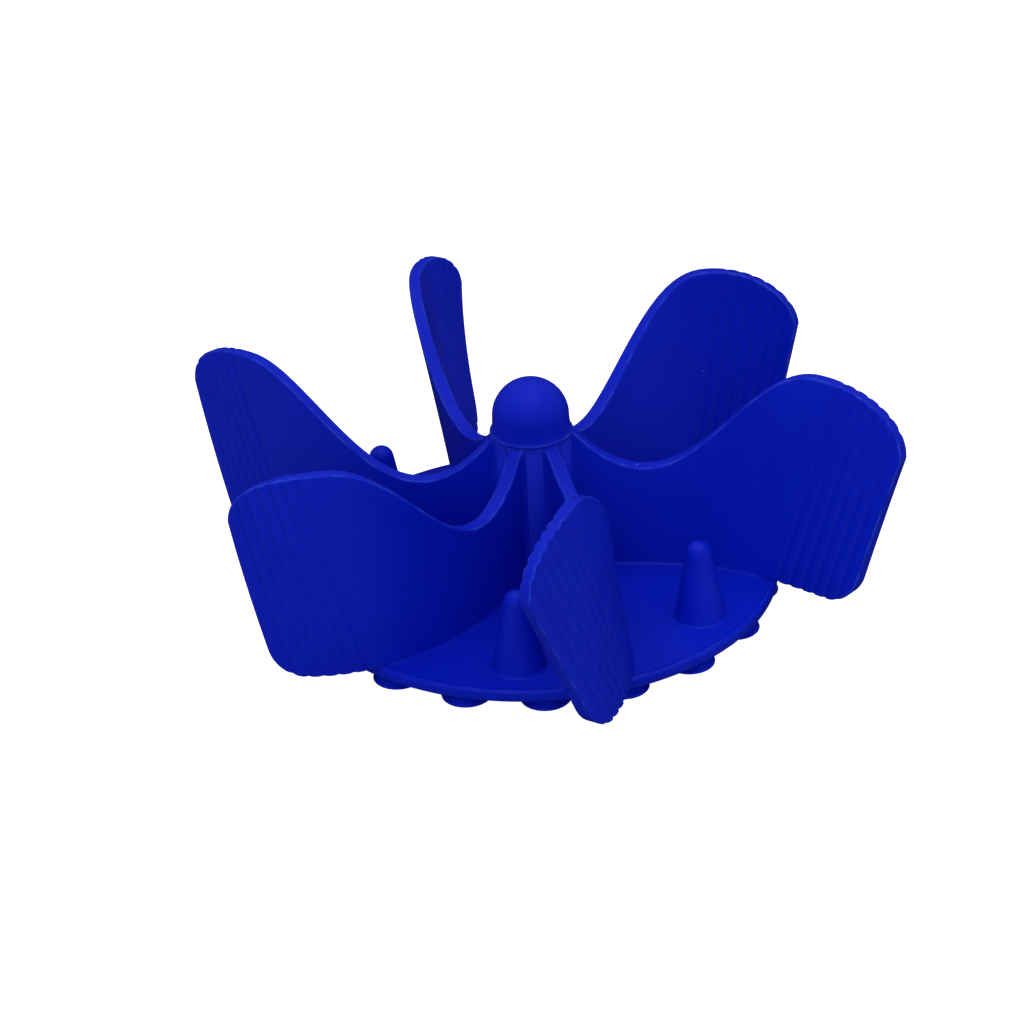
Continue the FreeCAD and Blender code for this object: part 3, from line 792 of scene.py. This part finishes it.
class FEEDER_OT_fins(bpy.types.Operator):
    """Make the six swept fins, each bent as it stands"""

    # The stretch about the rim, before and after it, as shares of the bend's run.
    BEFORE_RIM = 0.2
    AFTER_RIM = 0.25

    bl_idname = "feeder.fins"
    bl_label = "Swept Fins"

    def execute(self, context):
        fin = context.scene.fin_sizes
        tree = bend_tree()
        flat = FlatFin(fin, context.scene.feeder_sizes).mesh()
        hinge = fin.root_run + fin.bend_run
        for number in range(1, FIN_COUNT + 1):
            piece = add_piece("swept_fin_%d" % number, flat.copy(), None)
            heading = fin.heading - (number - 1) * 2 * math.pi / FIN_COUNT
            run_tree(piece, tree, {
                "Floor": PLATE[1].z, "Level Height": fin.level_height, "Heading": heading,
                "Root Lean": fin.root_lean[number - 1], "Root Run": fin.root_run,
                "Root Turn": fin.root_turn, "Bend Run": fin.bend_run,
                "Bend Turn": fin.bend_turn, "Free Run": fin.tip_run - hinge,
                "Foot Bow": fin.foot_bow[number - 1], "Top Bow": fin.top_bow[number - 1],
                "Material": silicone("fin_silicone")})
            self.bend_at_rim(piece, number, hinge - fin.root_run)
            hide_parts("fin_%d" % number, "fin_%d_free_end" % number)
        return {"FINISHED"}

    def bend_at_rim(self, piece, number, reach):
        """Reads the fin's flex joint at the plate's rim and the way to its free end, and bakes
        the piece's transform into its mesh; nothing is bent here.
        """
        name = "fin_%d_flex" % number
        joint = next(item for item in frame["joints"] if item["name"] == name)
        place, line = Vector(joint["pos_m"]), Vector(joint["axis"])
        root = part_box("fin_%d" % number)
        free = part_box("fin_%d_free_end" % number)
        way = (free[0] + free[1]) / 2 - (root[0] + root[1]) / 2
        way = (way - line * way.dot(line)).normalized()
        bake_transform(piece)


class FEEDER_OT_stage(bpy.types.Operator):
    """Set up the pale floor, the soft light and the camera"""

    bl_idname = "feeder.stage"
    bl_label = "Stage"

    def execute(self, context):
        studio = context.scene.studio_setup
        self.floor()
        self.surround(studio)
        aim = Vector(studio.aim)
        for name, power, width, away, glossy in (
            ("top_box", studio.top_power, 0.9, (0.0, -0.1, 0.9), True),
            ("front_box", studio.front_power, 0.8, (-0.15, -1.0, 0.5), False),
            ("back_box", studio.back_power, 0.8, (-0.3, 0.9, 0.6), False),
        ):
            self.soft_box(name, power, width, aim + Vector(away), aim, glossy)
        self.camera(studio, aim)
        return {"FINISHED"}

    @staticmethod
    def floor():
        """A grey floor that looks white to the camera and isn't seen in the gloss."""
        mesh = bpy.data.meshes.new("studio_floor")
        far = FLOOR_REACH
        corners = [(-far, -far, 0), (far, -far, 0), (far, far, 0), (-far, far, 0)]
        mesh.from_pydata(corners, [], [(0, 1, 2, 3)])
        material = bpy.data.materials.new("studio_floor")
        material.use_nodes = True
        shader = material.node_tree.nodes["Principled BSDF"]
        shader.inputs["Base Color"].default_value = (FLOOR_GREY, FLOOR_GREY, FLOOR_GREY, 1)
        shader.inputs["Roughness"].default_value = 0.9
        shader.inputs["Specular IOR Level"].default_value = 0.0
        shader.inputs["Emission Color"].default_value = (1, 1, 1, 1)
        tree = Tree(material.node_tree)
        rays = tree.node("ShaderNodeLightPath").outputs
        tree.feed(shader.inputs["Emission Strength"], rays["Is Camera Ray"])
        floor = add_piece("studio_floor", mesh, material)
        floor.visible_glossy = False

    @staticmethod
    def surround(studio):
        """A white surround behind the object, dimmer as a light."""
        world = bpy.data.worlds.new("studio_surround")
        bpy.context.scene.world = world
        world.use_nodes = True
        paint = world.node_tree.nodes["Background"]
        paint.inputs["Color"].default_value = (1, 1, 1, 1)
        tree = Tree(world.node_tree)
        rays = tree.node("ShaderNodeLightPath").outputs
        strength = tree.sum("MAXIMUM", rays["Is Camera Ray"], studio.surround)
        tree.feed(paint.inputs["Strength"], strength)
        world.cycles_visibility.glossy = False

    @staticmethod
    def soft_box(name, power, width, place, aim, glossy):
        data = bpy.data.lights.new(name, "AREA")
        data.energy = power
        data.size = width
        lamp = bpy.data.objects.new(name, data)
        lamp.location = place
        lamp.rotation_euler = (place - aim).to_track_quat("Z", "Y").to_euler()
        lamp.visible_glossy = glossy
        bpy.context.scene.collection.objects.link(lamp)

    @staticmethod
    def camera(studio, aim):
        data = bpy.data.cameras.new("studio_camera")
        data.lens = studio.lens
        data.clip_start = 0.01
        camera = bpy.data.objects.new("studio_camera", data)
        bpy.context.scene.collection.objects.link(camera)
        back = Vector((0, -math.cos(studio.elevation), math.sin(studio.elevation)))
        turn = (Matrix.Rotation(math.pi / 2 - studio.elevation, 4, "X")
                @ Matrix.Rotation(studio.roll, 4, "Z"))
        camera.matrix_world = Matrix.Translation(aim + back * studio.distance) @ turn
        bpy.context.scene.camera = camera
        bpy.context.scene.view_settings.view_transform = "Standard"


class FEEDER_PT_pieces(bpy.types.Panel):
    """Lists the pieces of the slow feeder insert"""

    bl_label = "Slow Feeder Insert"
    bl_idname = "FEEDER_PT_pieces"
    bl_space_type = "VIEW_3D"
    bl_region_type = "UI"
    bl_category = "Slow Feeder"

    def draw(self, context):
        for operator in OPERATORS:
            self.layout.operator(operator.bl_idname)
        for group in PROPERTY_GROUPS:
            box = self.layout.box()
            box.label(text=group)
            settings = getattr(context.scene, group)
            for name in settings.__annotations__:
                box.prop(settings, name)


OPERATORS = (
    FEEDER_OT_plate, FEEDER_OT_post, FEEDER_OT_cap, FEEDER_OT_pegs, FEEDER_OT_cups,
    FEEDER_OT_fins, FEEDER_OT_stage,
)
PROPERTY_GROUPS = {
    "feeder_sizes": FeederSizes,
    "fin_sizes": FinSizes,
    "silicone_look": SiliconeLook,
    "studio_setup": StudioSetup,
}


def register():
    for name, group in PROPERTY_GROUPS.items():
        bpy.utils.register_class(group)
        setattr(bpy.types.Scene, name, PointerProperty(type=group))
    for item in (*OPERATORS, FEEDER_PT_pieces):
        bpy.utils.register_class(item)


def unregister():
    for item in (FEEDER_PT_pieces, *reversed(OPERATORS)):
        bpy.utils.unregister_class(item)
    for name, group in PROPERTY_GROUPS.items():
        delattr(bpy.types.Scene, name)
        bpy.utils.unregister_class(group)


def main():
    register()
    bpy.ops.feeder.plate()
    bpy.ops.feeder.post()
    bpy.ops.feeder.cap()
    bpy.ops.feeder.pegs()
    bpy.ops.feeder.cups()
    bpy.ops.feeder.fins()
    bpy.ops.feeder.stage()


if __name__ == "__main__":
    main()
